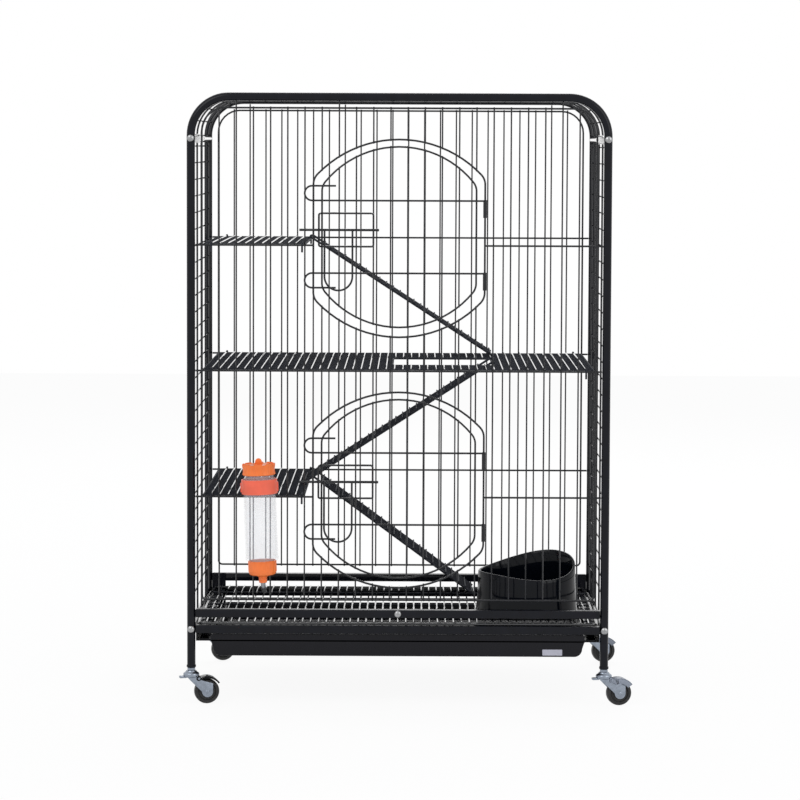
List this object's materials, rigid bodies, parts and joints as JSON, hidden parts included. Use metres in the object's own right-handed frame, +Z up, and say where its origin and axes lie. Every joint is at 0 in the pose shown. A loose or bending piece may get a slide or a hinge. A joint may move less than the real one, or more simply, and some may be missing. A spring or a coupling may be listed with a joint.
{
  "type": "ferret cage",
  "caption": "Tall wire cage in a bent round-tube frame on casters, with wire doors, decks, ladders, a pull-out tray, a drinking bottle and a bowl.",
  "frame": {"origin": "on the floor, midway between the four legs' axes", "axes": "+Z up, -Y out of the front with the doors, +X to the right seen from the front"},
  "size_m": [0.6901, 0.4995, 0.927],
  "materials": {
    "frame_paint": "glossy powder coat",
    "wire_paint": "powder-coated wire",
    "zinc": "bright zinc",
    "screw_steel": "bright zinc",
    "rubber": "satin",
    "black_plastic": "glossy",
    "grey_plastic": "satin",
    "orange_plastic": "satin",
    "red_orange_plastic": "satin",
    "clear_plastic": "clear, glossy",
    "spout_steel": "dark steel"
  },
  "bodies": {
    "cage": {"front_frame_tube": "frame_paint", "back_frame_tube": "frame_paint", "front_upper_rail": "frame_paint", "front_lower_rail": "frame_paint", "back_upper_rail": "frame_paint", "back_lower_rail": "frame_paint", "left_upper_bar": "frame_paint", "right_upper_bar": "frame_paint", "left_lower_bar": "frame_paint", "right_lower_bar": "frame_paint", "left_base_runner": "frame_paint", "right_base_runner": "frame_paint", "front_panel": "wire_paint", "back_panel": "wire_paint", "left_grille": "wire_paint", "right_grille": "wire_paint", "top_grille": "wire_paint", "upper_shelf": "wire_paint", "middle_platform": "wire_paint", "lower_shelf": "wire_paint", "bottle_top_cap": "orange_plastic", "bottle_bottom_cap": "orange_plastic", "bottle_holder_band": "red_orange_plastic", "bottle_tube": "clear_plastic", "bottle_spout": "spout_steel", "front_rail_screw": "screw_steel", "front_left_upper_screw": "screw_steel", "front_left_lower_screw": "screw_steel", "front_right_upper_screw": "screw_steel", "front_right_lower_screw": "screw_steel", "back_left_upper_screw": "screw_steel", "back_left_lower_screw": "screw_steel", "back_right_upper_screw": "screw_steel", "back_right_lower_screw": "screw_steel", "front_left_caster_stem": "zinc", "front_right_caster_stem": "zinc", "back_left_caster_stem": "zinc", "back_right_caster_stem": "zinc"},
    "upper_door": {"upper_door": "wire_paint"},
    "upper_latch": {"upper_door_latch": "wire_paint"},
    "lower_door": {"lower_door": "wire_paint"},
    "lower_latch": {"lower_door_latch": "wire_paint"},
    "tray": {"tray": "black_plastic"},
    "grate": {"floor_grate": "wire_paint"},
    "bowl": {"food_bowl": "black_plastic"},
    "top_ladder": {"top_ladder": "wire_paint"},
    "middle_ladder": {"middle_ladder": "wire_paint"},
    "bottom_ladder": {"bottom_ladder": "wire_paint"},
    "front_left_caster": {"front_left_caster_fork": "zinc"},
    "front_left_wheel": {"front_left_caster_wheel": "rubber"},
    "front_left_pedal": {"front_left_brake_pedal": "black_plastic"},
    "front_right_caster": {"front_right_caster_fork": "zinc"},
    "front_right_wheel": {"front_right_caster_wheel": "rubber"},
    "front_right_pedal": {"front_right_brake_pedal": "grey_plastic"},
    "back_left_caster": {"back_left_caster_fork": "zinc"},
    "back_left_wheel": {"back_left_caster_wheel": "rubber"},
    "back_left_pedal": {"back_left_brake_pedal": "grey_plastic"},
    "back_right_caster": {"back_right_caster_fork": "zinc"},
    "back_right_wheel": {"back_right_caster_wheel": "rubber"},
    "back_right_pedal": {"back_right_brake_pedal": "grey_plastic"}
  },
  "joints": [
    {"name": "upper_door_hinge", "type": "hinge", "parent": "cage", "child": "upper_door", "pos_m": [0.12917, -0.21115, 0.70841], "axis": [0, 0, 1], "range_deg": [0, 150]},
    {"name": "upper_latch_slide", "type": "slide", "parent": "upper_door", "child": "upper_latch", "axis": [1, 0, 0], "range_m": [0, 0.028]},
    {"name": "lower_door_hinge", "type": "hinge", "parent": "cage", "child": "lower_door", "pos_m": [0.12917, -0.21115, 0.32748], "axis": [0, 0, 1], "range_deg": [0, 150]},
    {"name": "lower_latch_slide", "type": "slide", "parent": "lower_door", "child": "lower_latch", "axis": [1, 0, 0], "range_m": [0, 0.028]},
    {"name": "tray_slide", "type": "slide", "parent": "cage", "child": "tray", "axis": [0, -1, 0], "range_m": [0, 0.38]},
    {"name": "grate_slide", "type": "slide", "parent": "cage", "child": "grate", "axis": [0, -1, 0], "range_m": [0, 0.38]},
    {"name": "bowl_lift", "type": "slide", "parent": "cage", "child": "bowl", "axis": [0, 0, 1], "range_m": [0, 0.1]},
    {"name": "top_ladder_hinge", "type": "hinge", "parent": "cage", "child": "top_ladder", "pos_m": [-0.14305, 0, 0.69846], "axis": [0, -1, 0], "range_deg": [0, 20]},
    {"name": "middle_ladder_hinge", "type": "hinge", "parent": "cage", "child": "middle_ladder", "pos_m": [0.145, 0, 0.50874], "axis": [0, 1, 0], "range_deg": [0, 20]},
    {"name": "bottom_ladder_hinge", "type": "hinge", "parent": "cage", "child": "bottom_ladder", "pos_m": [-0.14305, 0, 0.31753], "axis": [0, -1, 0], "range_deg": [0, 20]},
    {"name": "front_left_swivel", "type": "hinge", "parent": "cage", "child": "front_left_caster", "pos_m": [-0.31365, -0.21115, 0.045], "axis": [0, 0, 1], "continuous": true},
    {"name": "front_left_wheel_spin", "type": "hinge", "parent": "front_left_caster", "child": "front_left_wheel", "pos_m": [-0.29066, -0.20626, 0.019], "axis": [-0.2079, 0.9781, 0], "continuous": true},
    {"name": "front_left_pedal_hinge", "type": "hinge", "parent": "front_left_caster", "child": "front_left_pedal", "pos_m": [-0.30387, -0.20907, 0.0396], "axis": [0.2079, -0.9781, 0], "range_deg": [0, 15]},
    {"name": "front_right_swivel", "type": "hinge", "parent": "cage", "child": "front_right_caster", "pos_m": [0.31365, -0.21115, 0.045], "axis": [0, 0, 1], "continuous": true},
    {"name": "front_right_wheel_spin", "type": "hinge", "parent": "front_right_caster", "child": "front_right_wheel", "pos_m": [0.33664, -0.20626, 0.019], "axis": [-0.2079, 0.9781, 0], "continuous": true},
    {"name": "front_right_pedal_hinge", "type": "hinge", "parent": "front_right_caster", "child": "front_right_pedal", "pos_m": [0.32343, -0.20907, 0.0396], "axis": [0.2079, -0.9781, 0], "range_deg": [0, 15]},
    {"name": "back_left_swivel", "type": "hinge", "parent": "cage", "child": "back_left_caster", "pos_m": [-0.31365, 0.21115, 0.045], "axis": [0, 0, 1], "continuous": true},
    {"name": "back_left_wheel_spin", "type": "hinge", "parent": "back_left_caster", "child": "back_left_wheel", "pos_m": [-0.29066, 0.21604, 0.019], "axis": [-0.2079, 0.9781, 0], "continuous": true},
    {"name": "back_left_pedal_hinge", "type": "hinge", "parent": "back_left_caster", "child": "back_left_pedal", "pos_m": [-0.30387, 0.21323, 0.0396], "axis": [0.2079, -0.9781, 0], "range_deg": [0, 15]},
    {"name": "back_right_swivel", "type": "hinge", "parent": "cage", "child": "back_right_caster", "pos_m": [0.31365, 0.21115, 0.045], "axis": [0, 0, 1], "continuous": true},
    {"name": "back_right_wheel_spin", "type": "hinge", "parent": "back_right_caster", "child": "back_right_wheel", "pos_m": [0.33664, 0.21604, 0.019], "axis": [-0.2079, 0.9781, 0], "continuous": true},
    {"name": "back_right_pedal_hinge", "type": "hinge", "parent": "back_right_caster", "child": "back_right_pedal", "pos_m": [0.32343, 0.21323, 0.0396], "axis": [0.2079, -0.9781, 0], "range_deg": [0, 15]}
  ]
}
